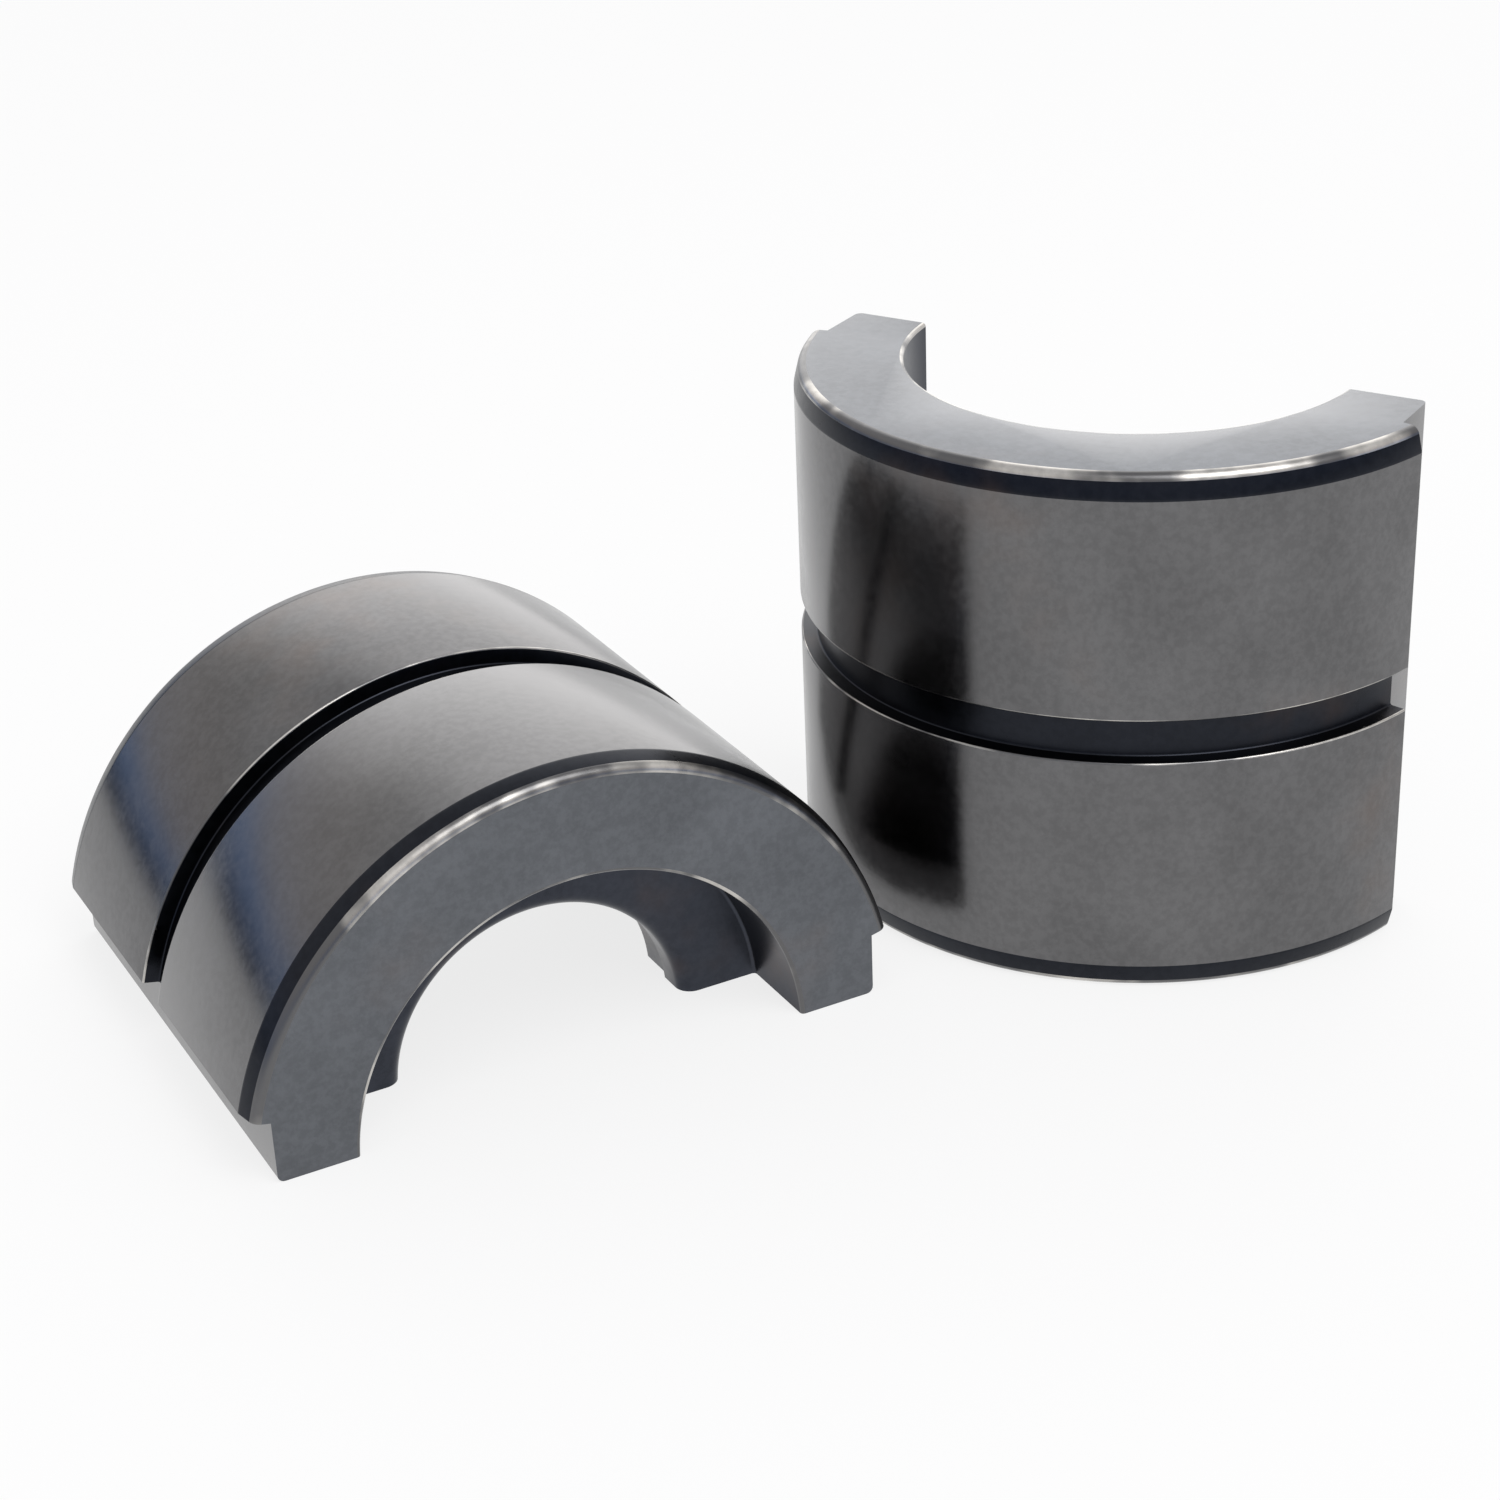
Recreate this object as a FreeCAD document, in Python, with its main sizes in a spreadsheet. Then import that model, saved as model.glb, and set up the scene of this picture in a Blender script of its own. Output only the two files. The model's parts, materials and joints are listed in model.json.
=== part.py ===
import FreeCAD, Part
import os
import Sketcher
from FreeCAD import Placement, Rotation, Vector
from math import pi

# Press die set: two equal half-round die halves, turned as one sleeve and split along the bore.
# Each half is one solid of steel. One lies on its parting faces, the other stands on its end face.
#
# Die frame: the bore axis is Z, mid length is Z = 0, the parting faces look towards -Y and the
# crown of the outer seat is at +Y.
# Assembly frame: +Z is up, the origin is on the standing half's bore axis at the bench, and the
# lying half's bore runs along Y.

SIZES = [
    # name, value (mm, angles in degrees), what it is
    ("outer_radius", 44.45, "outer seat, held in the half-round saddle of the press"),
    ("die_length", 69.85, "from end face to end face"),
    ("parting_setback", 1.65, "how far each parting face is cut back from the bore axis"),
    ("band_length", 3.1, "steep lead-in band at each end of the seat, along the axis"),
    ("band_drop", 0.75, "radius lost over that band"),
    ("rim_break", 0.9, "chamfer between band and end face"),
    ("groove_width", 5.7, "retaining groove round the middle of the seat"),
    ("groove_depth", 2.2, "depth of that groove"),
    ("mouth_radius", 30.0, "relieved mouth at each end of the bore"),
    ("mouth_depth", 12.3, "from the end face to the front of the press land"),
    ("mouth_break", 0.5, "chamfer round the rim of the mouth"),
    ("mouth_root_break", 0.5, "chamfer left in the corner at the floor of the mouth"),
    ("land_radius", 20.1, "press land, which closes on the work"),
    ("land_length", 11.6, "whole length of each land, its nose included"),
    ("crest_rise", 0.6, "how far the crest behind the nose stands proud of the land"),
    ("crest_length", 3.1, "straight length of that crest"),
    ("crest_ramp", 0.4, "length of the ramp from the crest down to the land"),
    ("nose_round", 2.2, "rounded nose at the front of each land"),
    ("land_break", 0.4, "chamfer at the back of each land"),
    ("relief_radius", 30.0, "relieved middle of the bore between the two lands"),
    ("flank_inset", 4.05, "how far inside the seat's radius the flat flank at each side lies"),
    ("flank_height", 8.3, "height of the flank above the parting face"),
    ("shoulder_slope", 12.0, "slope of the shoulder from the flank out to the seat, degrees"),
    ("shoulder_round", 0.4, "radius in the corner between flank and shoulder"),
    ("foot_round", 0.9, "rounded outer edge of each parting face"),
    ("end_break", 0.3, "chamfer along the straight edges of both end faces"),
    ("bench_gap", 4.5, "room left between the seats of the two halves, square across the set"),
    ("lying_mid", 14.95, "mid length of the lying half, measured along Y"),
    ("standing_turn", 119.8, "heading of the standing half about its own axis, degrees"),
]
CUT_MARGIN = 5.0    # how far a cutter runs past the metal that it removes
MATCH = 0.01        # how near its expected place an edge must be to be the edge that is meant


def formula(text):
    """Turn <name> into a reference to that alias of the sheet."""
    return text.replace("<", "Sizes.").replace(">", "")


def bind(thing, **texts):
    """Bind properties of a document object to formulas over the sheet."""
    for name, text in texts.items():
        thing.setExpression(name, formula(text))


def size_of(doc, text):
    """Number that a formula over the sheet gives now."""
    return float(doc.getObject("Sizes").evalExpression(formula(text)))


def make_sheet(doc):
    """Put every driving dimension into a spreadsheet, one aliased row each."""
    sheet = doc.addObject("Spreadsheet::Sheet", "Sizes")
    for row, (name, value, meaning) in enumerate(SIZES, start=1):
        sheet.set(f"A{row}", name)
        sheet.set(f"B{row}", str(value))
        sheet.set(f"C{row}", meaning)
        sheet.setAlias(f"B{row}", name)
    doc.recompute()


def origin_feature(body, role):
    return next(item for item in body.Origin.OriginFeatures if item.Role == role)


def new_sketch(body, name, role):
    """Empty sketch on one of the body's own origin planes."""
    sketch = body.newObject("Sketcher::SketchObject", name)
    sketch.AttachmentSupport = [(origin_feature(body, role), "")]
    sketch.MapMode = "FlatFace"
    return sketch


def outline(sketch, corners):
    """Draw a closed outline in which every corner's place is bound to the sheet.

    A corner is (x formula, y formula, round formula). The edge that leaves a corner is a
    straight line, or, with a round, a quarter circle that turns outwards to the next corner.
    """
    doc = sketch.Document
    places = [Vector(size_of(doc, x), size_of(doc, y), 0) for x, y, _ in corners]
    for index, (_, _, rounding) in enumerate(corners):
        here, after = places[index], places[(index + 1) % len(corners)]
        if rounding:
            circle = Part.Circle(Vector(after.x, here.y, 0), Vector(0, 0, 1), after.x - here.x)
            sketch.addGeometry(Part.ArcOfCircle(circle, pi / 2, pi), False)
        else:
            sketch.addGeometry(Part.LineSegment(here, after), False)
    for index, (x, y, rounding) in enumerate(corners):
        after = (index + 1) % len(corners)
        first, last = (2, 1) if rounding else (1, 2)
        next_first = 2 if corners[after][2] else 1
        join = Sketcher.Constraint("Coincident", index, last, after, next_first)
        sketch.addConstraint(join)
        for kind, text in (("DistanceX", x), ("DistanceY", y)):
            value = places[index].x if kind == "DistanceX" else places[index].y
            place = Sketcher.Constraint(kind, -1, 1, index, first, value)
            bind(sketch, **{f"Constraints[{sketch.addConstraint(place)}]": text})
        if rounding:
            radius = Sketcher.Constraint("Radius", index, size_of(doc, rounding))
            bind(sketch, **{f"Constraints[{sketch.addConstraint(radius)}]": rounding})


def cut_through(body, name, corners):
    """Pocket of an outline seen along the bore, cut through the whole length both ways."""
    doc = body.Document
    before = body.Shape.Volume
    sketch = new_sketch(body, f"{name}Sketch", "XY_Plane")
    outline(sketch, corners)
    pocket = body.newObject("PartDesign::Pocket", name)
    pocket.Profile = sketch
    pocket.Midplane = True
    bind(pocket, Length=f"<die_length>+{2 * CUT_MARGIN}")
    doc.recompute()
    if body.Shape.Volume > before - 1:
        raise RuntimeError(f"{name} removes nothing from {body.Label}")
    return pocket


def mirror(body, name, feature, role):
    """Mirror one feature of the body in one of its origin planes."""
    mirrored = body.newObject("PartDesign::Mirrored", name)
    mirrored.Originals = [feature]
    mirrored.MirrorPlane = (origin_feature(body, role), [""])
    body.Tip = mirrored
    body.Document.recompute()
    return mirrored


def dress(body, kind, name, size, meant):
    """Round or chamfer the edges of the body's tip for which meant(edge) holds."""
    base = body.Tip
    edges = [f"Edge{n}" for n, edge in enumerate(base.Shape.Edges, start=1) if meant(edge)]
    if not edges:
        raise RuntimeError(f"{name} finds no edge on {body.Label}")
    made = body.newObject(f"PartDesign::{kind}", name)
    made.Base = (base, edges)
    bind(made, **{"Radius" if kind == "Fillet" else "Size": size})
    body.Document.recompute()
    return made


def ring(doc, radius, height):
    """Test for the round edges of this radius at this height above or below mid length."""
    wanted_radius, wanted_height = size_of(doc, radius), size_of(doc, height)

    def meant(edge):
        if not isinstance(edge.Curve, Part.Circle):
            return False
        off_radius = abs(edge.Curve.Radius - wanted_radius)
        off_height = abs(abs(edge.Curve.Center.z) - wanted_height)
        return off_radius < MATCH and off_height < MATCH

    return meant


def lengthwise(doc, across, up):
    """Test for the straight edges along the bore at this place in the section, on both sides."""
    wanted_x, wanted_y = size_of(doc, across), size_of(doc, up)

    def meant(edge):
        ends = [vertex.Point for vertex in edge.Vertexes]
        return all(abs(abs(p.x) - wanted_x) < MATCH and abs(p.y - wanted_y) < MATCH for p in ends)

    return meant


def end_outline(doc, side, shoulder):
    """Test for the edges of both end faces from the parting faces round to the shoulders."""
    end = size_of(doc, "<die_length>/2")
    lowest, highest = size_of(doc, "<parting_setback>"), size_of(doc, shoulder)
    flank = size_of(doc, side)

    def meant(edge):
        ends = [vertex.Point for vertex in edge.Vertexes]
        if any(abs(abs(p.z) - end) > MATCH for p in ends):
            return False
        middle = edge.valueAt((edge.FirstParameter + edge.LastParameter) / 2)
        low = all(abs(p.y - lowest) < MATCH for p in ends)
        outside = abs(middle.x) > flank - 1 and middle.y < highest + MATCH
        return low or outside

    return meant


def turn_wall(body):
    """Revolve half the wall's section through half a turn and mirror it at mid length."""
    end = "<die_length>/2"
    floor = f"{end}-<mouth_depth>"
    back = f"{floor}-<land_length>"
    crest = "<land_radius>-<crest_rise>"
    crest_top = f"{floor}-<nose_round>"
    crest_foot = f"{crest_top}-<crest_length>"
    groove_floor = "<outer_radius>-<groove_depth>"
    sketch = new_sketch(body, "WallSection", "XZ_Plane")
    outline(sketch, [
        ("<relief_radius>", "0", None),
        ("<relief_radius>", back, None),
        ("<land_radius>", back, None),
        ("<land_radius>", f"{crest_foot}-<crest_ramp>", None),
        (crest, crest_foot, None),
        (crest, crest_top, "<nose_round>"),
        (f"{crest}+<nose_round>", floor, None),
        ("<mouth_radius>", floor, None),
        ("<mouth_radius>", end, None),
        ("<outer_radius>-<band_drop>", end, None),
        ("<outer_radius>", f"{end}-<band_length>", None),
        ("<outer_radius>", "<groove_width>/2", None),
        (groove_floor, "<groove_width>/2", None),
        (groove_floor, "0", None),
    ])
    wall = body.newObject("PartDesign::Revolution", "Wall")
    wall.Profile = sketch
    wall.ReferenceAxis = (sketch, ["V_Axis"])
    wall.Angle = 180
    body.Document.recompute()
    wall.Reversed = body.Shape.CenterOfMass.y < 0
    body.Document.recompute()
    mirror(body, "WholeWall", wall, "XY_Plane")


def dress_wall(body):
    """Chamfer the turned edges while they still run through the whole half turn."""
    doc = body.Document
    end = "<die_length>/2"
    floor = f"{end}-<mouth_depth>"
    dress(body, "Chamfer", "RimBreak", "<rim_break>",
          ring(doc, "<outer_radius>-<band_drop>", end))
    dress(body, "Chamfer", "MouthBreak", "<mouth_break>", ring(doc, "<mouth_radius>", end))
    dress(body, "Chamfer", "MouthRoot", "<mouth_root_break>", ring(doc, "<mouth_radius>", floor))
    dress(body, "Chamfer", "LandBreak", "<land_break>",
          ring(doc, "<land_radius>", f"{floor}-<land_length>"))


def cut_edges(body):
    """Cut back the parting faces, then rebate both outer edges to a flank and a shoulder."""
    doc = body.Document
    far = f"<outer_radius>+{CUT_MARGIN}"
    cut_through(body, "PartingCut", [
        (f"-({far})", f"-{CUT_MARGIN}", None),
        (far, f"-{CUT_MARGIN}", None),
        (far, "<parting_setback>", None),
        (f"-({far})", "<parting_setback>", None),
    ])
    side = "<outer_radius>-<flank_inset>"
    shoulder = "<parting_setback>+<flank_height>"
    rise = f"(<flank_inset>+{CUT_MARGIN})*tan(<shoulder_slope>)"
    flank = cut_through(body, "FlankCut", [
        (side, f"-{CUT_MARGIN}", None),
        (far, f"-{CUT_MARGIN}", None),
        (far, f"{shoulder}+{rise}", None),
        (side, shoulder, None),
    ])
    mirror(body, "OtherFlankCut", flank, "YZ_Plane")
    dress(body, "Fillet", "ShoulderRound", "<shoulder_round>",
          lengthwise(doc, side, shoulder))
    dress(body, "Fillet", "FootRound", "<foot_round>", lengthwise(doc, side, "<parting_setback>"))
    dress(body, "Chamfer", "EndBreak", "<end_break>", end_outline(doc, side, shoulder))


def make_half(doc, node):
    """One die half in its own frame."""
    body = doc.addObject("PartDesign::Body", node)
    body.Label = node
    turn_wall(body)
    dress_wall(body)
    cut_edges(body)
    return body


def check(doc, nodes):
    """Stop unless every feature is made and every half is one valid solid."""
    failed = [item.Name for item in doc.Objects if {"Invalid", "Error"} & set(item.State)]
    if failed:
        raise RuntimeError(f"not made: {', '.join(failed)}")
    for node in nodes:
        shape = node.Shape
        if shape.isNull() or not shape.isValid() or len(shape.Solids) != 1:
            raise RuntimeError(f"{node.Label} isn't one valid solid")
    first, second = (node.Shape for node in nodes)
    if first.distToShape(second)[0] <= 0:
        raise RuntimeError("the halves touch on the bench")


def main():
    doc = FreeCAD.newDocument("PressDieSet")
    make_sheet(doc)

    lying = make_half(doc, "lying_die_half")
    lying.Placement = Placement(Vector(0, 0, 0), Rotation(Vector(1, 0, 0), 90))
    bind(lying, **{
        "Placement.Base.x": "-(2*<outer_radius>+<bench_gap>)",
        "Placement.Base.y": "<lying_mid>",
        "Placement.Base.z": "-<parting_setback>",
    })

    standing = make_half(doc, "standing_die_half")
    standing.Placement = Placement(Vector(0, 0, 0), Rotation(Vector(0, 0, 1), 1))
    bind(standing, **{
        "Placement.Base.z": "<die_length>/2",
        "Placement.Rotation.Angle": "<standing_turn>",
    })

    doc.recompute()
    nodes = (lying, standing)
    check(doc, nodes)
    os.makedirs("parts", exist_ok=True)
    for node in nodes:
        node.Shape.exportStep(f"parts/{node.Label}.step")
        box = node.Shape.BoundBox
        print(f"{node.Label}: {node.Shape.Volume / 1000:.1f} cm3, {box}")


main()
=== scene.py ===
import json
from math import cos, pi, radians, sin

import bmesh
import bpy
from bpy.props import FloatProperty, FloatVectorProperty, IntProperty, PointerProperty
from mathutils import Matrix, Vector


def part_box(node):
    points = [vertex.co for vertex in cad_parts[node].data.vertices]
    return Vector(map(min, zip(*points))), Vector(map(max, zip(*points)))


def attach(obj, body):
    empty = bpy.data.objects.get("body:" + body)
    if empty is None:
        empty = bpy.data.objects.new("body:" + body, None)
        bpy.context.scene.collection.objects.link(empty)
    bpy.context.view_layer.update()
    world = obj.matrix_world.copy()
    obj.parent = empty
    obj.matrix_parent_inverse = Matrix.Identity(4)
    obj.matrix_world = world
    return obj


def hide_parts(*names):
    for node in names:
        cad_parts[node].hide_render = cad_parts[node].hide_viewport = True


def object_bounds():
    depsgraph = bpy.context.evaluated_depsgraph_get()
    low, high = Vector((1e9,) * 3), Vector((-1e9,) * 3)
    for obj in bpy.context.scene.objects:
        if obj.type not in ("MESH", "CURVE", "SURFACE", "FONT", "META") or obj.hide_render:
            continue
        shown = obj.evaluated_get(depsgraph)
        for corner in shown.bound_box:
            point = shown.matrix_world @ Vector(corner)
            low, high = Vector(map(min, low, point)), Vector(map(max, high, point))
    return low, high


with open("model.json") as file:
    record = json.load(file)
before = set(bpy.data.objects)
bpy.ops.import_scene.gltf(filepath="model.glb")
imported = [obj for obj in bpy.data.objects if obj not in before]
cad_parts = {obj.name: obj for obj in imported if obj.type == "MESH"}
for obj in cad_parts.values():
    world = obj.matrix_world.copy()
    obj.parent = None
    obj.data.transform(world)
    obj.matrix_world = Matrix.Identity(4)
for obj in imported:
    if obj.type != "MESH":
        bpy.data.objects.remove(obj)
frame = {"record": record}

bl_info = {
    "name": "Press die set",
    "version": (1, 0, 0),
    "blender": (4, 5, 0),
    "location": "View3D > Sidebar > Press die",
    "description": "Two half-round press die halves in worn, blackened tool steel",
    "category": "Object",
}

CAD_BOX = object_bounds()
MM = 0.001
HALVES = {"lying_die_half": "lying_half", "standing_die_half": "standing_half"}

# Rounds left on the turned corners of the wall.
GROOVE_ROOT = 0.3 * MM
GROOVE_EDGE = 0.22 * MM
BAND_EDGE = 0.18 * MM
MOUTH_EDGE = 0.5 * MM
CREST_EDGE = 0.1 * MM
LAND_EDGE = 0.4 * MM

# How near a point must lie to count as on a plane, cut by a plane, or as a double.
ON_PLANE = 0.002 * MM
CUT_REACH = 0.0001 * MM
FINE_GAP = 0.0005 * MM

# How far each finish reaches past the corner that it starts from.
FACE_SKIN = 0.01 * MM
SEAT_SKIN = 0.02 * MM
# MOUTH_REACH, GROOVE_WALL and GROOVE_LIP also bound the bright worn steel on the mouth edge and
# the groove lip, which is partly a painted highlight.
MOUTH_REACH = 0.55 * MM
GROOVE_WALL = 1.9 * MM
GROOVE_LIP = 0.4 * MM
GROOVE_REACH = 0.1 * MM
BAND_REACH = 0.2 * MM
BAND_FALL = 1.2 * MM

# Grain of the steel, as noise scales per metre.
CLOUD_SCALE = 60.0
GRAIN_SCALE = 900.0
TURNING_SCALE = 2500.0
TINT_SCALE = 28.0
# Patches of the bright worn steel, partly rubbed wear and partly a painted highlight along the
# edges.
RUBBED_AND_HIGHLIGHT_SCALE = 75.0

# Colours of the room by height above the horizon, as the sine of the elevation.
HORIZON = (
    (0.0, (0.06, 0.075, 0.11, 1.0)),
    (0.06, (0.1, 0.14, 0.24, 1.0)),
    (0.12, (0.34, 0.52, 0.9, 1.0)),
    (0.22, (0.66, 0.64, 0.66, 1.0)),
    (0.42, (0.72, 0.69, 0.67, 1.0)),
    (0.6, (0.8, 0.8, 0.8, 1.0)),
    (1.0, (0.6, 0.6, 0.62, 1.0)),
)
WINDOW_WAY = (0.549, 0.784, 0.289)


def mount(name):
    """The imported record's mount of that name."""
    return next(item for item in frame["record"]["mounts"] if item["name"] == name)


def die_length():
    """Length of a die half, which stands upright on its end face."""
    low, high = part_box("standing_die_half")
    return high.z - low.z


class DieSizes(bpy.types.PropertyGroup):
    """Sizes of one die half, in its own frame: Z is the bore axis, +Y the crown."""

    seat_radius: FloatProperty(
        name="Seat radius", description="Outer seat of each half",
        default=44.45 * MM, min=0.01, unit="LENGTH")
    length: FloatProperty(
        name="Length", description="From end face to end face",
        default=die_length(), min=0.01, unit="LENGTH")
    setback: FloatProperty(
        name="Parting setback", description="From the bore axis to the parting faces",
        default=1.65 * MM, min=0.0, unit="LENGTH")
    band_length: FloatProperty(
        name="Band length", description="Lead-in band at each end of the seat",
        default=3.1 * MM, min=0.0, unit="LENGTH")
    band_drop: FloatProperty(
        name="Band drop", description="Radius lost over the lead-in band",
        default=0.75 * MM, min=0.0, unit="LENGTH")
    rim_round: FloatProperty(
        name="Rim round", description="Worn round between the band and the end face",
        default=0.95 * MM, min=0.0, unit="LENGTH")
    groove_width: FloatProperty(
        name="Groove width", description="Retaining groove round the seat",
        default=5.7 * MM, min=0.0, unit="LENGTH")
    groove_depth: FloatProperty(
        name="Groove depth", description="Depth of the retaining groove",
        default=2.2 * MM, min=0.0, unit="LENGTH")
    mouth_radius: FloatProperty(
        name="Mouth radius", description="Relieved mouth and relieved middle of the bore",
        default=30.0 * MM, min=0.0, unit="LENGTH")
    mouth_depth: FloatProperty(
        name="Mouth depth", description="From the end face to the press land",
        default=12.3 * MM, min=0.0, unit="LENGTH")
    land_radius: FloatProperty(
        name="Land radius", description="Press land",
        default=20.1 * MM, min=0.0, unit="LENGTH")
    land_length: FloatProperty(
        name="Land length", description="Whole length of each land",
        default=11.6 * MM, min=0.0, unit="LENGTH")
    crest_radius: FloatProperty(
        name="Crest radius", description="Crest behind the nose of each land",
        default=mount("standing_bore")["dims"]["r_mm"] * MM, min=0.0, unit="LENGTH")
    crest_length: FloatProperty(
        name="Crest length", description="Straight length of the crest",
        default=3.1 * MM, min=0.0, unit="LENGTH")
    crest_ramp: FloatProperty(
        name="Crest ramp", description="Ramp from the crest down to the land",
        default=0.4 * MM, min=0.0, unit="LENGTH")
    nose_round: FloatProperty(
        name="Nose round", description="Rounded nose at the front of each land",
        default=2.2 * MM, min=0.0, unit="LENGTH")
    flank_inset: FloatProperty(
        name="Flank inset", description="How far inside the seat the flat flanks lie",
        default=4.05 * MM, min=0.0, unit="LENGTH")
    flank_height: FloatProperty(
        name="Flank height", description="Height of the flank above the parting face",
        default=8.3 * MM, min=0.0, unit="LENGTH")
    shoulder_slope: FloatProperty(
        name="Shoulder slope", description="Slope of the shoulder out to the seat",
        default=radians(12.0), subtype="ANGLE")
    foot_round: FloatProperty(
        name="Foot round", description="Rounded outer edge of each parting face",
        default=0.9 * MM, min=0.0, unit="LENGTH")
    steps: IntProperty(
        name="Steps", description="Steps of the half turn", default=240, min=24, max=720)


class DieFinish(bpy.types.PropertyGroup):
    """Colours and gloss of the steel."""

    ground_colour: FloatVectorProperty(
        name="Ground steel", description="Seat and end faces, ground and browned with age",
        default=(0.14, 0.139, 0.142), subtype="COLOR", min=0.0, max=1.0)
    face_colour: FloatVectorProperty(
        name="End face steel", description="End faces, a little bluer than the seat",
        default=(0.128, 0.135, 0.148), subtype="COLOR", min=0.0, max=1.0)
    oxide_colour: FloatVectorProperty(
        name="Black oxide", description="Bands, groove and bore",
        default=(0.022, 0.024, 0.03), subtype="COLOR", min=0.0, max=1.0)
    # Bright bare steel on the rims, the mouth edge and the groove lip: partly rubbed wear, partly
    # a painted highlight on edges that catch the light.
    worn_and_highlight_colour: FloatVectorProperty(
        name="Worn steel", description="Rubbed and bruised edges",
        default=(0.55, 0.53, 0.5), subtype="COLOR", min=0.0, max=1.0)
    rust_colour: FloatVectorProperty(
        name="Rust tint", description="Faint rust and heat tint",
        default=(0.2, 0.11, 0.06), subtype="COLOR", min=0.0, max=1.0)
    ground_gloss: FloatProperty(
        name="Ground roughness", description="Roughness of the ground steel",
        default=0.2, min=0.0, max=1.0, subtype="FACTOR")
    worn_gloss: FloatProperty(
        name="Worn roughness", description="Roughness of the rubbed edges",
        default=0.3, min=0.0, max=1.0, subtype="FACTOR")
    oxide_gloss: FloatProperty(
        name="Oxide roughness", description="Roughness of the black oxide",
        default=0.3, min=0.0, max=1.0, subtype="FACTOR")


class DieStage(bpy.types.PropertyGroup):
    """Camera, floor and lamps."""

    camera_place: FloatVectorProperty(
        name="Camera place", description="Where the camera stands",
        default=(-0.2196, -0.3083, 0.2013), subtype="TRANSLATION")
    camera_heading: FloatProperty(
        name="Heading", description="Where the camera looks, from +X towards +Y",
        default=radians(62.46), subtype="ANGLE")
    camera_pitch: FloatProperty(
        name="Pitch", description="How far the camera looks down",
        default=radians(26.52), subtype="ANGLE")
    camera_roll: FloatProperty(
        name="Roll", description="How far the camera leans",
        default=radians(-2.44), subtype="ANGLE")
    camera_lens: FloatProperty(
        name="Lens", description="Focal length on a 36 mm wide sensor",
        default=72.69, min=10.0, subtype="DISTANCE_CAMERA")
    floor_size: FloatProperty(
        name="Floor size", description="Side of the square floor",
        default=6.0, min=0.5, unit="LENGTH")
    floor_drop: FloatProperty(
        name="Floor drop", description="How far the floor lies under the part",
        default=0.02 * MM, min=0.0, unit="LENGTH")
    floor_colour: FloatVectorProperty(
        name="Floor colour", description="Matt paint of the floor",
        default=(0.86, 0.86, 0.86), subtype="COLOR", min=0.0, max=1.0)
    floor_white: FloatProperty(
        name="Floor white", description="How much of the floor is seen as plain white",
        default=0.8, min=0.0, max=1.0, subtype="FACTOR")
    window_strength: FloatProperty(
        name="Window strength", description="Glow of the wide window behind the part",
        default=2.0, min=0.0)
    lamp_place: FloatVectorProperty(
        name="Lamp place", description="Where the soft box hangs",
        default=(0.1, -0.8, 1.3), subtype="TRANSLATION")
    lamp_size: FloatProperty(
        name="Lamp size", description="Side of the square soft box",
        default=0.9, min=0.05, unit="LENGTH")
    lamp_power: FloatProperty(
        name="Lamp power", description="Power of the soft box",
        default=9.0, min=0.0, unit="POWER")


# ---------------------------------------------------------------- die halves

def place_of(node):
    """Matrix from a die half's own frame to the assembly's frame."""
    bore = mount(node.replace("_die_half", "_bore"))
    along = Vector(bore["axis"])
    parting = next(item for item in frame["record"]["mounts"]
                   if item["name"].startswith(node.replace("_die_half", "_parting")))
    crown = -Vector(parting["axis"])
    across = crown.cross(along)
    turn = Matrix((across, crown, along)).transposed().to_4x4()
    return Matrix.Translation(Vector(bore["pos_m"])) @ turn


def wall_corners(sizes):
    """Corners of half the wall's section, as (radius, height, round, segments)."""
    end = sizes.length / 2
    floor = end - sizes.mouth_depth
    back = floor - sizes.land_length
    crest_foot = floor - sizes.nose_round - sizes.crest_length
    groove = sizes.groove_width / 2
    groove_floor = sizes.seat_radius - sizes.groove_depth
    return [
        (groove_floor, 0, 0, 0),
        (groove_floor, groove, GROOVE_ROOT, 3),
        (sizes.seat_radius, groove, GROOVE_EDGE, 3),
        (sizes.seat_radius, end - sizes.band_length, BAND_EDGE, 2),
        (sizes.seat_radius - sizes.band_drop, end, sizes.rim_round, 6),
        (sizes.mouth_radius, end, MOUTH_EDGE, 3),
        (sizes.mouth_radius, floor, MOUTH_EDGE, 4),
        (sizes.crest_radius, floor, sizes.nose_round, 10),
        (sizes.crest_radius, crest_foot, CREST_EDGE, 2),
        (sizes.land_radius, crest_foot - sizes.crest_ramp, CREST_EDGE, 2),
        (sizes.land_radius, back, LAND_EDGE, 3),
        (sizes.mouth_radius, back, MOUTH_EDGE, 3),
        (sizes.mouth_radius, 0, 0, 0),
    ]


def section(mesh, sizes):
    """Draw the whole section of the wall, with its corners rounded, as a closed wire."""
    corners = wall_corners(sizes)
    verts = [mesh.verts.new((radius, 0, height)) for radius, height, _, _ in corners]
    for here, after in zip(verts, verts[1:]):
        mesh.edges.new((here, after))
    for vert, (_, _, rounding, segments) in zip(verts, corners):
        if segments:
            bmesh.ops.bevel(mesh, geom=[vert], offset=rounding, offset_type="OFFSET",
                            affect="VERTICES", segments=segments, profile=0.5, material=-1)
    bmesh.ops.mirror(mesh, geom=mesh.verts[:] + mesh.edges[:], matrix=Matrix(),
                     merge_dist=0.001 * MM, axis="Z")


def flat_faces(mesh, normal, offset):
    """Faces that lie in one plane, told by its normal and its distance from the origin."""
    return [face for face in mesh.faces
            if abs(face.normal.dot(normal)) > 0.9999
            and abs(face.calc_center_median().dot(normal) - offset) < ON_PLANE]


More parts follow.
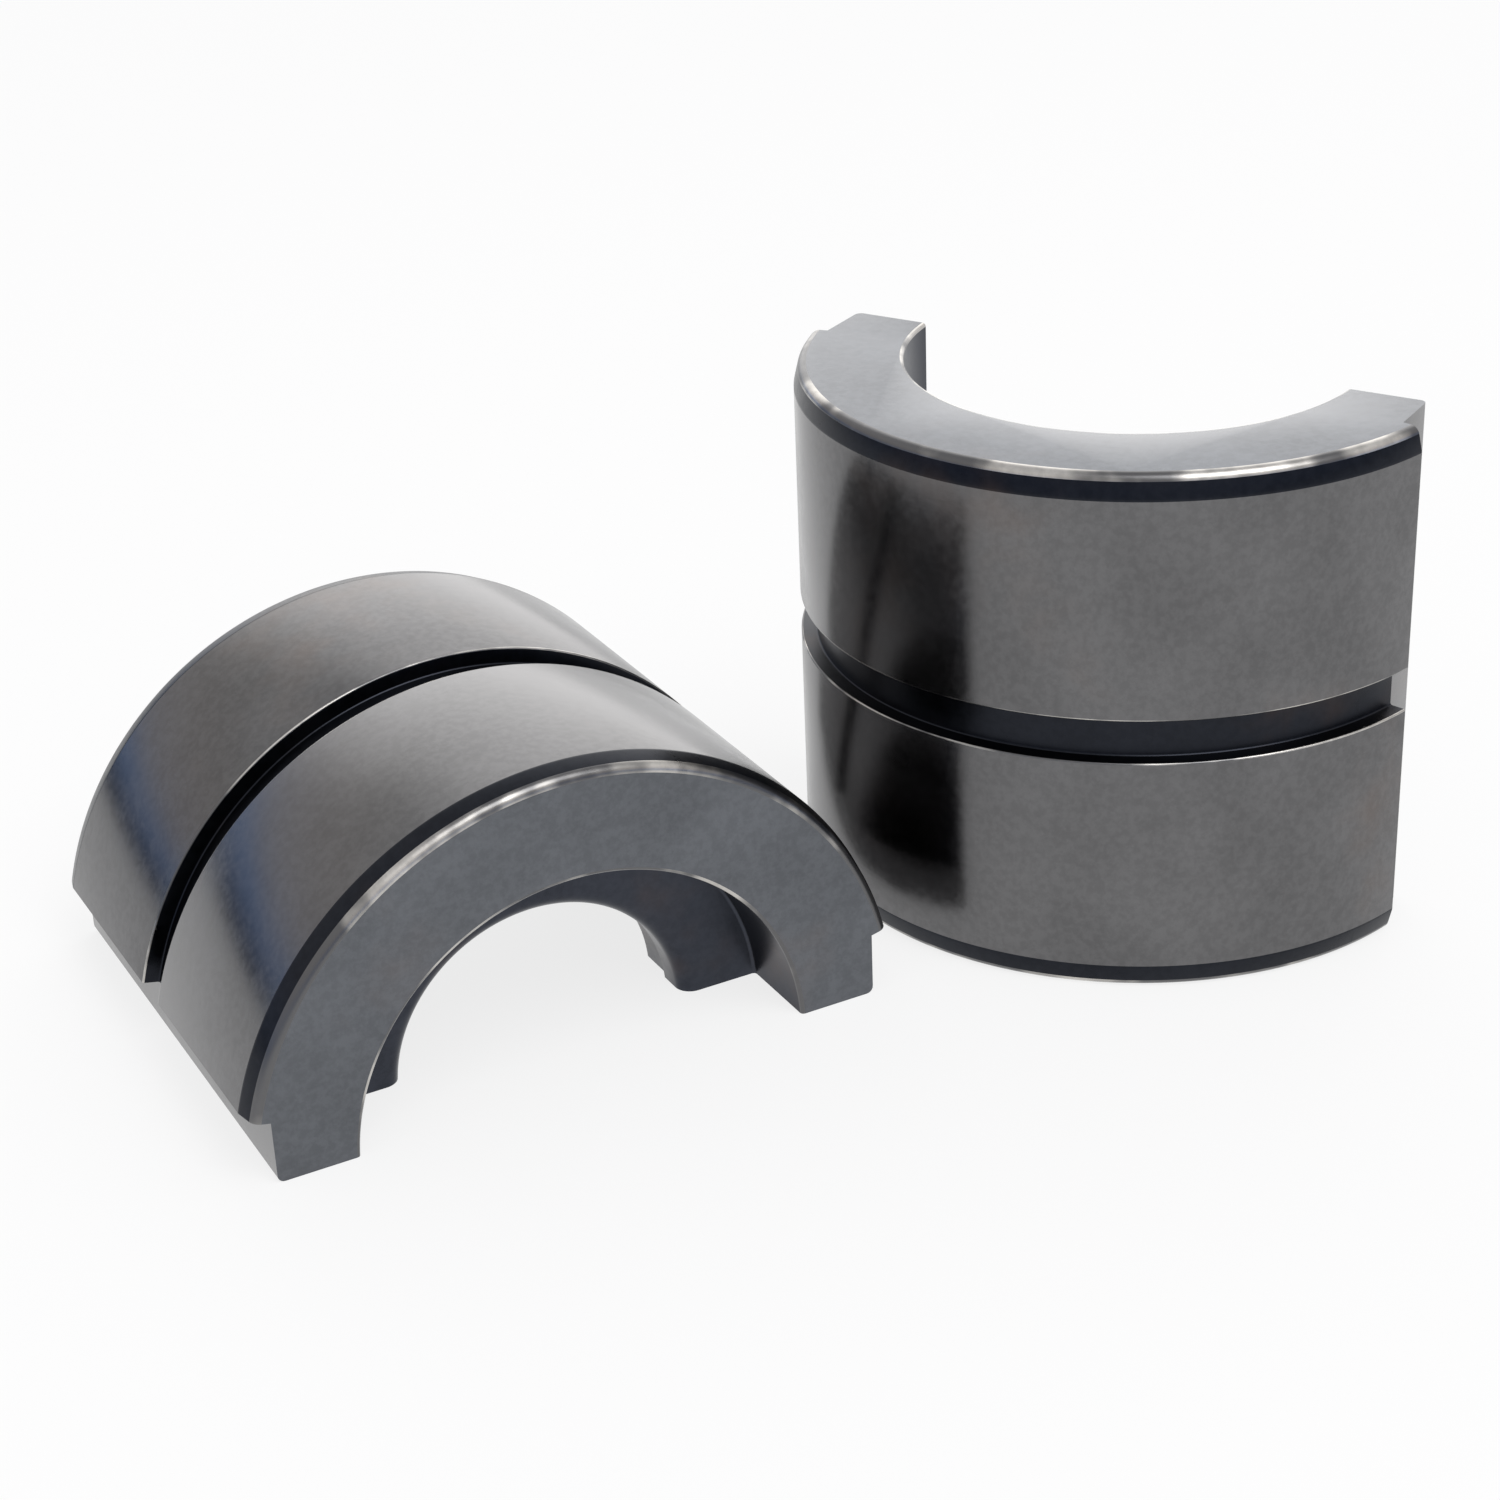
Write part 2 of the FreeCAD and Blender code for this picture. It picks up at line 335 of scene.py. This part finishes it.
def merge_flat(mesh, sizes):
    """Turn each flat ring, cut up by the spin, into a single face."""
    end = sizes.length / 2
    for height in (end, end - sizes.mouth_depth, end - sizes.mouth_depth - sizes.land_length):
        for side in (-1, 1):
            faces = flat_faces(mesh, Vector((0, 0, 1)), side * height)
            bmesh.ops.dissolve_faces(mesh, faces=faces, use_verts=False)


def open_edges(mesh, normal, offset):
    """Open edges that lie in one plane."""
    return [edge for edge in mesh.edges if edge.is_boundary
            and all(abs(vert.co.dot(normal) - offset) < ON_PLANE for vert in edge.verts)]


def cut_parting(mesh, sizes):
    """Cut the half turn back to its parting faces and close them."""
    bmesh.ops.bisect_plane(mesh, geom=mesh.verts[:] + mesh.edges[:] + mesh.faces[:],
                           dist=CUT_REACH, plane_co=(0, sizes.setback, 0),
                           plane_no=(0, 1, 0), clear_inner=True)
    edges = open_edges(mesh, Vector((0, 1, 0)), sizes.setback)
    bmesh.ops.holes_fill(mesh, edges=edges, sides=0)


def cut_flank(mesh, sizes, side):
    """Rebate one outer edge to a flat flank and a sloping shoulder."""
    flank = sizes.seat_radius - sizes.flank_inset
    corner = Vector((side * flank, sizes.setback + sizes.flank_height, 0))
    flank_normal = Vector((side, 0, 0))
    slope = sizes.shoulder_slope
    shoulder_normal = Vector((-side * sin(slope), cos(slope), 0))
    for normal in (flank_normal, shoulder_normal):
        near = [face for face in mesh.faces
                if side * face.calc_center_median().x > 0 or len(face.verts) > 50]
        edges = {edge for face in near for edge in face.edges}
        verts = {vert for face in near for vert in face.verts}
        bmesh.ops.bisect_plane(mesh, geom=list(verts) + list(edges) + near,
                               dist=CUT_REACH, plane_co=corner, plane_no=normal)
    waste = [face for face in mesh.faces
             if (face.calc_center_median() - corner).dot(flank_normal) > FINE_GAP
             and (face.calc_center_median() - corner).dot(shoulder_normal) < -FINE_GAP]
    bmesh.ops.delete(mesh, geom=waste, context="FACES")
    ends = [vert for vert in mesh.verts
            if (vert.co.xy - corner.xy).length < ON_PLANE]
    ends.sort(key=lambda vert: vert.co.z)
    ridge = mesh.edges.new((ends[0], ends[-1]))
    for normal in (flank_normal, shoulder_normal):
        edges = open_edges(mesh, normal, corner.dot(normal))
        rim = [edge for edge in edges if edge != ridge]
        bmesh.ops.contextual_create(mesh, geom=rim + [ridge])


def soften_edges(mesh, sizes):
    """Round the outer edges of the parting faces."""
    flank = sizes.seat_radius - sizes.flank_inset
    feet = [edge for edge in mesh.edges
            if all(abs(abs(vert.co.x) - flank) < ON_PLANE
                   and abs(vert.co.y - sizes.setback) < ON_PLANE for vert in edge.verts)]
    bmesh.ops.bevel(mesh, geom=feet, offset=sizes.foot_round, offset_type="OFFSET",
                    affect="EDGES", segments=5, profile=0.5, material=-1)


# The worn zone is bright steel along the rims, the mouth edge and the groove lip: partly rubbed
# wear, partly a painted highlight.
ZONES = ("ground", "oxide", "worn", "end_face", "bore")


def zone_of(face, sizes):
    """Finish of a face, told by where it lies on the die half."""
    centre = face.calc_center_median()
    radius, height = centre.xy.length, abs(centre.z)
    end = sizes.length / 2
    groove = sizes.groove_width / 2
    groove_floor = sizes.seat_radius - sizes.groove_depth
    bore_reach = sizes.mouth_radius + MOUTH_REACH
    if abs(face.normal.y + 1) < 0.01:
        return "ground"
    if abs(face.normal.z) > 0.999 and height > end - FACE_SKIN:
        return "end_face"
    # Mouth edge: bright worn steel, partly a painted highlight.
    if radius < bore_reach and height > end - MOUTH_REACH:
        return "worn"
    if radius < bore_reach:
        return "bore"
    if abs(face.normal.z) < 0.02 and radius > sizes.seat_radius - SEAT_SKIN:
        return "ground"
    # Groove lip: bright worn steel, partly a painted highlight.
    if radius > groove_floor + GROOVE_WALL and height < groove + GROOVE_LIP:
        return "worn"
    if radius > groove_floor - GROOVE_REACH and height < groove + GROOVE_REACH:
        return "oxide"
    # Rim round: bright worn steel, partly a painted highlight.
    if height > end - sizes.rim_round and radius > groove_floor:
        return "worn"
    if height > end - sizes.band_length - BAND_REACH and radius > sizes.seat_radius - BAND_FALL:
        return "oxide"
    return "ground"


def build_half(node, sizes):
    """One die half as a mesh object that stands for its CAD node."""
    mesh = bmesh.new()
    section(mesh, sizes)
    bmesh.ops.spin(mesh, geom=mesh.verts[:] + mesh.edges[:], cent=(0, 0, 0), axis=(0, 0, 1),
                   angle=pi, steps=sizes.steps, use_merge=False)
    bmesh.ops.remove_doubles(mesh, verts=mesh.verts[:], dist=FINE_GAP)
    if sum(vert.co.y for vert in mesh.verts) < 0:
        bmesh.ops.rotate(mesh, verts=mesh.verts[:], cent=(0, 0, 0),
                         matrix=Matrix.Rotation(pi, 3, "Z"))
    mesh.normal_update()
    merge_flat(mesh, sizes)
    cut_parting(mesh, sizes)
    for side in (-1, 1):
        cut_flank(mesh, sizes, side)
    bmesh.ops.recalc_face_normals(mesh, faces=mesh.faces[:])
    soften_edges(mesh, sizes)
    bmesh.ops.recalc_face_normals(mesh, faces=mesh.faces[:])
    mesh.normal_update()
    if any(not edge.is_manifold for edge in mesh.edges):
        raise RuntimeError(f"{node} isn't a closed solid")
    for face in mesh.faces:
        face.material_index = ZONES.index(zone_of(face, sizes))
        face.smooth = True
    mesh.transform(place_of(node))
    data = bpy.data.meshes.new(node.replace("_die_half", "_half_worn"))
    mesh.to_mesh(data)
    mesh.free()
    data.set_sharp_from_angle(angle=radians(24))
    piece = bpy.data.objects.new(data.name, data)
    bpy.context.scene.collection.objects.link(piece)
    return piece


# ---------------------------------------------------------------- materials

class Nodes:
    """Short way to add and join shader nodes."""

    def __init__(self, tree):
        self.tree = tree
        tree.nodes.clear()

    def add(self, kind, inputs=None, **settings):
        """Add a node, with its settings, and join or set its inputs."""
        made = self.tree.nodes.new(kind)
        for name, value in settings.items():
            setattr(made, name, value)
        for name, value in (inputs or {}).items():
            if isinstance(value, bpy.types.NodeSocket):
                self.tree.links.new(value, made.inputs[name])
            else:
                made.inputs[name].default_value = value
        return made

    def math(self, operation, first, second=0.0):
        """One sum of two values."""
        return self.add("ShaderNodeMath", {0: first, 1: second}, operation=operation).outputs[0]

    def ramp(self, value, low, high, low_to=0.0, high_to=1.0):
        """A smooth step from one value to another."""
        inputs = {"Value": value, "From Min": low, "From Max": high,
                  "To Min": low_to, "To Max": high_to}
        made = self.add("ShaderNodeMapRange", inputs, interpolation_type="SMOOTHSTEP")
        return made.outputs["Result"]

    def mix(self, factor, first, second):
        """A blend of two colours."""
        made = self.add("ShaderNodeMix", data_type="RGBA")
        for socket, value in ((0, factor), (6, first), (7, second)):
            if isinstance(value, bpy.types.NodeSocket):
                self.tree.links.new(value, made.inputs[socket])
            elif socket == 0:
                made.inputs[socket].default_value = value
            else:
                made.inputs[socket].default_value = (*value, 1.0)
        return made.outputs[2]

    def noise(self, vector, scale, detail, roughness):
        """A cloud of values from 0 to 1."""
        inputs = {"Vector": vector, "Scale": scale, "Detail": detail, "Roughness": roughness}
        return self.add("ShaderNodeTexNoise", inputs).outputs["Fac"]


def die_coordinates(nodes, node):
    """Point in the die half's own frame, with its radius, angle and height."""
    place = place_of(node)
    spot = nodes.add("ShaderNodeTexCoord").outputs["Object"]
    local = nodes.add("ShaderNodeMapping", {
        "Vector": spot,
        "Location": place.to_translation(),
        "Rotation": place.to_euler(),
    }, vector_type="TEXTURE").outputs["Vector"]
    parts = nodes.add("ShaderNodeSeparateXYZ", {0: local})
    x, y, z = parts.outputs
    radius = nodes.math("SQRT", nodes.math("ADD", nodes.math("MULTIPLY", x, x),
                                           nodes.math("MULTIPLY", y, y)))
    angle = nodes.math("ARCTAN2", x, y)
    return local, radius, angle, z


def steel(node, zone, colour, rough, finish, seat_radius):
    """One finish of one die half: clouds, grain, turning lines and a faint rust tint; on the worn
    zone, bright patches that are partly rubbed wear and partly a painted highlight.
    """
    material = bpy.data.materials.new(f"{zone}_{node.replace('_die_half', '')}")
    material.use_nodes = True
    nodes = Nodes(material.node_tree)
    local, radius, angle, height = die_coordinates(nodes, node)
    arc = nodes.math("MULTIPLY", angle, seat_radius)
    lathe = nodes.add("ShaderNodeCombineXYZ", {
        "X": nodes.math("MULTIPLY", arc, 0.05), "Y": height, "Z": radius}).outputs[0]

    cloud = nodes.noise(local, CLOUD_SCALE, 3.0, 0.6)
    grain = nodes.noise(local, GRAIN_SCALE, 4.0, 0.65)
    lines = nodes.noise(lathe, TURNING_SCALE, 3.0, 0.6)
    tint = nodes.ramp(nodes.noise(local, TINT_SCALE, 4.0, 0.65), 0.55, 0.8, 0.0, 0.2)

    dark = tuple(0.84 * part for part in colour)
    light = tuple(min(1.0, 1.18 * part) for part in colour)
    shade = nodes.mix(nodes.ramp(cloud, 0.3, 0.7), dark, light)
    speck = nodes.mix(nodes.ramp(grain, 0.35, 0.65), dark, light)
    base = nodes.mix(0.45, shade, speck)
    base = nodes.mix(tint, base, tuple(finish.rust_colour))
    # On the worn zone, patches of bright steel over the ground colour: partly rubbed wear, partly
    # a painted highlight along the edges.
    if zone == "worn":
        rubbed_and_highlight = nodes.ramp(nodes.noise(local, RUBBED_AND_HIGHLIGHT_SCALE, 3.0, 0.6), 0.44, 0.62)
        base = nodes.mix(rubbed_and_highlight, tuple(finish.ground_colour), base)
    gloss = nodes.ramp(nodes.math("ADD", nodes.math("MULTIPLY", cloud, 0.6),
                                  nodes.math("MULTIPLY", grain, 0.4)), 0.35, 0.65,
                       rough - 0.03, rough + 0.05)
    relief = nodes.math("ADD", nodes.math("MULTIPLY", lines, 0.5),
                        nodes.math("MULTIPLY", grain, 0.5))
    bump = nodes.add("ShaderNodeBump", {"Height": relief, "Strength": 0.25,
                                        "Distance": 0.02 * MM}).outputs["Normal"]
    shader = nodes.add("ShaderNodeBsdfPrincipled", {
        "Base Color": base, "Roughness": gloss, "Normal": bump, "Metallic": 1.0})
    nodes.add("ShaderNodeOutputMaterial", {"Surface": shader.outputs[0]})
    return material


def finish_half(piece, node, finish, seat_radius):
    """Give a die half one steel for each zone."""
    colours = {
        "ground": (tuple(finish.ground_colour), finish.ground_gloss),
        "oxide": (tuple(finish.oxide_colour), finish.oxide_gloss),
        # Bright worn edges: partly rubbed wear, partly a painted highlight.
        "worn": (tuple(finish.worn_and_highlight_colour), finish.worn_gloss),
        "end_face": (tuple(finish.face_colour), finish.ground_gloss),
        "bore": (tuple(2 * part for part in finish.oxide_colour), finish.oxide_gloss),
    }
    for zone in ZONES:
        colour, rough = colours[zone]
        material = steel(node, zone, colour, rough, finish, seat_radius)
        piece.data.materials.append(material)


# ---------------------------------------------------------------- operators

class PRESSDIE_OT_halves(bpy.types.Operator):
    """Build both die halves over their CAD nodes"""

    bl_idname = "pressdie.halves"
    bl_label = "Build die halves"

    def execute(self, context):
        """Model each half, finish it and let it ride on its body."""
        sizes, finish = context.scene.die_sizes, context.scene.die_finish
        for node, body in HALVES.items():
            piece = build_half(node, sizes)
            finish_half(piece, node, finish, sizes.seat_radius)
            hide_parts(node)
            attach(piece, body)
        return {"FINISHED"}


def add_floor(stage):
    """A pale floor, seen as near white and still holding the part's shadow."""
    mesh = bmesh.new()
    bmesh.ops.create_grid(mesh, x_segments=1, y_segments=1, size=stage.floor_size / 2)
    data = bpy.data.meshes.new("floor")
    mesh.to_mesh(data)
    mesh.free()
    floor = bpy.data.objects.new("floor", data)
    floor.location.z = -stage.floor_drop
    bpy.context.scene.collection.objects.link(floor)
    material = bpy.data.materials.new("pale_floor")
    material.use_nodes = True
    nodes = Nodes(material.node_tree)
    paths = nodes.add("ShaderNodeLightPath").outputs
    paint = nodes.add("ShaderNodeBsdfDiffuse", {"Color": (*stage.floor_colour, 1.0)})
    glow = nodes.add("ShaderNodeEmission", {"Color": (1.0, 1.0, 1.0, 1.0), "Strength": 1.0})
    seen = nodes.math("MAXIMUM", paths["Is Camera Ray"], nodes.math(
        "MAXIMUM", paths["Is Glossy Ray"], paths["Is Transmission Ray"]))
    share = nodes.math("MULTIPLY", seen, stage.floor_white)
    surface = nodes.add("ShaderNodeMixShader", {0: share, 1: paint.outputs[0], 2: glow.outputs[0]})
    nodes.add("ShaderNodeOutputMaterial", {"Surface": surface.outputs[0]})
    data.materials.append(material)


def add_world(stage):
    """A soft room: a blue-grey horizon, a paler ceiling and the glow of one wide window."""
    world = bpy.data.worlds.new("studio")
    bpy.context.scene.world = world
    world.use_nodes = True
    nodes = Nodes(world.node_tree)
    way = nodes.add("ShaderNodeTexCoord").outputs["Generated"]
    height = nodes.add("ShaderNodeSeparateXYZ", {0: way}).outputs[2]
    ramp = nodes.add("ShaderNodeValToRGB", {"Fac": height})
    stops = ramp.color_ramp.elements
    stops[0].position, stops[0].color = HORIZON[0]
    stops[1].position, stops[1].color = HORIZON[-1]
    for position, colour in HORIZON[1:-1]:
        stops.new(position).color = colour
    room = nodes.add("ShaderNodeBackground", {"Color": ramp.outputs["Color"], "Strength": 1.0})
    window = nodes.add("ShaderNodeBackground", {
        "Color": (1.0, 0.99, 0.98, 1.0), "Strength": stage.window_strength})
    facing = nodes.add("ShaderNodeVectorMath", {0: way, 1: WINDOW_WAY}, operation="DOT_PRODUCT")
    share = nodes.ramp(facing.outputs["Value"], 0.7, 0.965)
    surface = nodes.add("ShaderNodeMixShader", {
        0: share, 1: room.outputs[0], 2: window.outputs[0]})
    nodes.add("ShaderNodeOutputWorld", {"Surface": surface.outputs[0]})


def add_lamp(stage):
    """One square soft box in front of the part and above it."""
    data = bpy.data.lights.new("front_softbox", "AREA")
    data.shape = "RECTANGLE"
    data.size = data.size_y = stage.lamp_size
    data.energy = stage.lamp_power
    lamp = bpy.data.objects.new("front_softbox", data)
    place = Vector(stage.lamp_place)
    centre = (CAD_BOX[0] + CAD_BOX[1]) / 2
    lamp.location = place
    lamp.rotation_euler = (centre - place).to_track_quat("-Z", "Y").to_euler()
    bpy.context.scene.collection.objects.link(lamp)


def add_camera(stage):
    """The camera, from its place, heading, pitch and roll."""
    data = bpy.data.cameras.new("camera")
    data.lens = stage.camera_lens
    data.sensor_width = 36.0
    camera = bpy.data.objects.new("camera", data)
    heading, pitch, roll = stage.camera_heading, stage.camera_pitch, stage.camera_roll
    ahead = Vector((cos(heading) * cos(pitch), sin(heading) * cos(pitch), -sin(pitch)))
    level = Vector((sin(heading), -cos(heading), 0))
    upright = level.cross(ahead)
    right = cos(roll) * level + sin(roll) * upright
    up = cos(roll) * upright - sin(roll) * level
    camera.matrix_world = (Matrix.Translation(Vector(stage.camera_place))
                           @ Matrix((right, up, -ahead)).transposed().to_4x4())
    bpy.context.scene.collection.objects.link(camera)
    bpy.context.scene.camera = camera


class PRESSDIE_OT_stage(bpy.types.Operator):
    """Add the floor, the studio light and the camera"""

    bl_idname = "pressdie.stage"
    bl_label = "Set the stage"

    def execute(self, context):
        """Make the stage from its settings."""
        stage = context.scene.die_stage
        add_floor(stage)
        add_world(stage)
        add_lamp(stage)
        add_camera(stage)
        context.scene.view_settings.view_transform = "Standard"
        return {"FINISHED"}


class PRESSDIE_PT_panel(bpy.types.Panel):
    """Builds the press die set and its stage"""

    bl_idname = "PRESSDIE_PT_panel"
    bl_label = "Press die set"
    bl_space_type = "VIEW_3D"
    bl_region_type = "UI"
    bl_category = "Press die"

    def draw(self, context):
        scene = context.scene
        for group in (scene.die_sizes, scene.die_finish, scene.die_stage):
            box = self.layout.box()
            for name in group.bl_rna.properties.keys():
                if name not in ("name", "rna_type"):
                    box.prop(group, name)
        self.layout.operator(PRESSDIE_OT_halves.bl_idname)
        self.layout.operator(PRESSDIE_OT_stage.bl_idname)


CLASSES = (DieSizes, DieFinish, DieStage, PRESSDIE_OT_halves, PRESSDIE_OT_stage,
           PRESSDIE_PT_panel)


def register():
    """Add the classes and their settings to Blender."""
    for item in CLASSES:
        bpy.utils.register_class(item)
    bpy.types.Scene.die_sizes = PointerProperty(type=DieSizes)
    bpy.types.Scene.die_finish = PointerProperty(type=DieFinish)
    bpy.types.Scene.die_stage = PointerProperty(type=DieStage)


def unregister():
    """Take the settings and the classes away again."""
    for name in ("die_sizes", "die_finish", "die_stage"):
        delattr(bpy.types.Scene, name)
    for item in reversed(CLASSES):
        bpy.utils.unregister_class(item)


def main():
    """Build the part and its stage."""
    register()
    bpy.ops.pressdie.halves()
    bpy.ops.pressdie.stage()


if __name__ == "__main__":
    main()
